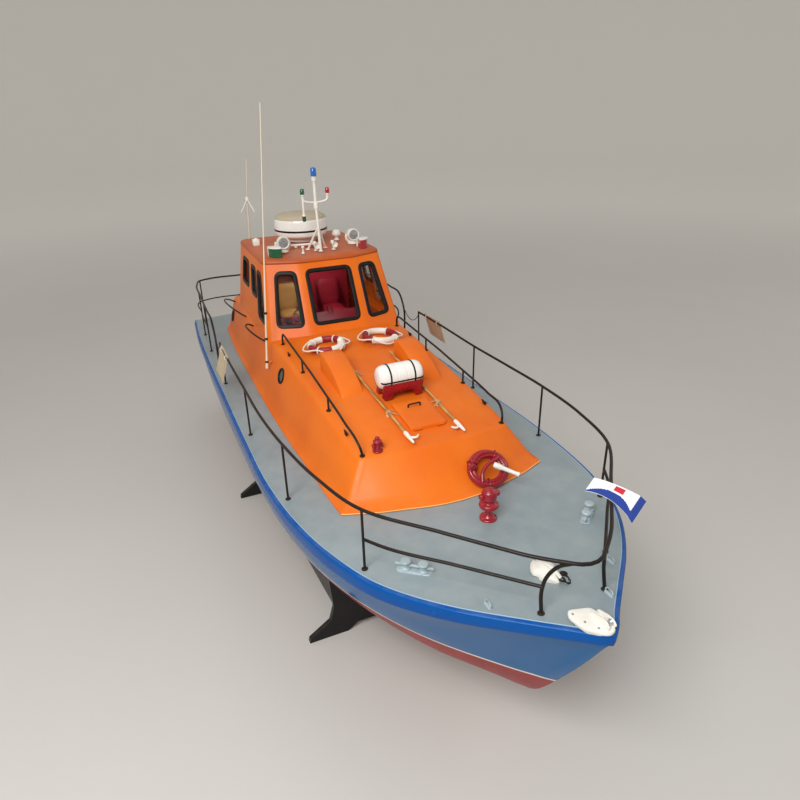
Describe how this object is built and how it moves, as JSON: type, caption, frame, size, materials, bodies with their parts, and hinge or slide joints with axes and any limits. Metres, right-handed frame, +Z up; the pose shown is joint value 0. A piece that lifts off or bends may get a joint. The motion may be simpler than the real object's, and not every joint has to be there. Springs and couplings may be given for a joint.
{
  "type": "scale model of a decked inshore rescue boat on a display cradle",
  "caption": "Display model of a decked rescue boat: blue hull, orange coachroof and wheelhouse, guard rails, deck gear and mast, propellers and rudders under the stern, on a black cradle.",
  "frame": {"origin": "middle of the model's box, at the table under the cradle", "axes": "+X towards the bow, +Y to port, +Z up"},
  "size_m": [0.9822, 0.3394, 0.5531],
  "materials": {
    "topsides_blue": "gloss blue above a red bottom",
    "deck_grey": "satin blue-grey",
    "strake_blue": "gloss",
    "bottom_red": "satin",
    "cradle_black": "satin black paint",
    "orange": "satin orange",
    "glass": "clear",
    "cabin_red": "matt",
    "white": "satin",
    "gear_red": "gloss",
    "wood": "varnished",
    "ring": "white with red bands",
    "black_wire": "painted wire",
    "board": "white card",
    "grey_metal": "painted",
    "brass": "polished"
  },
  "bodies": {
    "boat": {"hull": "topsides_blue", "deck": "deck_grey", "rubbing_strake": "strake_blue", "keel": "bottom_red", "cradle": "cradle_black", "coachroof": "orange", "wheelhouse": "orange", "wheelhouse_roof": "orange", "windscreen_glass": "glass", "side_glass_port": "glass", "side_glass_starboard": "glass", "cabin_floor": "cabin_red", "helm_console": "cabin_red", "helm_seat_port": "cabin_red", "helm_seat_starboard": "cabin_red", "fairing_port": "orange", "fairing_starboard": "orange", "liferaft_canister": "white", "liferaft_cradle": "gear_red", "fore_hatch": "orange", "boat_hook_port": "wood", "boat_hook_starboard": "wood", "life_ring_port": "ring", "life_ring_starboard": "ring", "coachroof_handrail_port": "black_wire", "coachroof_handrail_starboard": "black_wire", "guard_rail_forward": "black_wire", "stern_rail_port": "black_wire", "stern_rail_starboard": "black_wire", "side_board_port": "board", "side_board_starboard": "board", "bow_board": "board", "stemhead_roller": "white", "anchor": "white", "bollard_port": "grey_metal", "bollard_starboard": "grey_metal", "standpipe": "gear_red", "hose_coil": "gear_red", "hydrant": "gear_red", "radar_dome": "white", "mast": "white", "searchlight_port": "white", "searchlight_starboard": "white", "side_light_port": "white", "side_light_starboard": "white", "whip_aerial": "white", "ground_plane_aerial": "white", "shaft_port": "brass", "shaft_starboard": "brass"},
    "propeller_port": {"propeller_port": "brass"},
    "propeller_starboard": {"propeller_starboard": "brass"},
    "rudder_port": {"rudder_port": "brass"},
    "rudder_starboard": {"rudder_starboard": "brass"}
  },
  "joints": [
    {"name": "propeller_port_turn", "type": "hinge", "parent": "boat", "child": "propeller_port", "pos_m": [-0.37, 0.062, 0.054], "axis": [0.9976, 0, 0.0698], "continuous": true},
    {"name": "propeller_starboard_turn", "type": "hinge", "parent": "boat", "child": "propeller_starboard", "pos_m": [-0.37, -0.062, 0.054], "axis": [0.9976, 0, 0.0698], "continuous": true},
    {"name": "rudder_port_steer", "type": "hinge", "parent": "boat", "child": "rudder_port", "pos_m": [-0.42, 0.062, 0.08], "axis": [0, 0, 1], "range_deg": [-35, 35]},
    {"name": "rudder_starboard_steer", "type": "hinge", "parent": "boat", "child": "rudder_starboard", "pos_m": [-0.42, -0.062, 0.08], "axis": [0, 0, 1], "range_deg": [-35, 35]}
  ],
  "couplings": [
    {"joint": "rudder_starboard_steer", "follows": "rudder_port_steer", "ratio": 1}
  ]
}
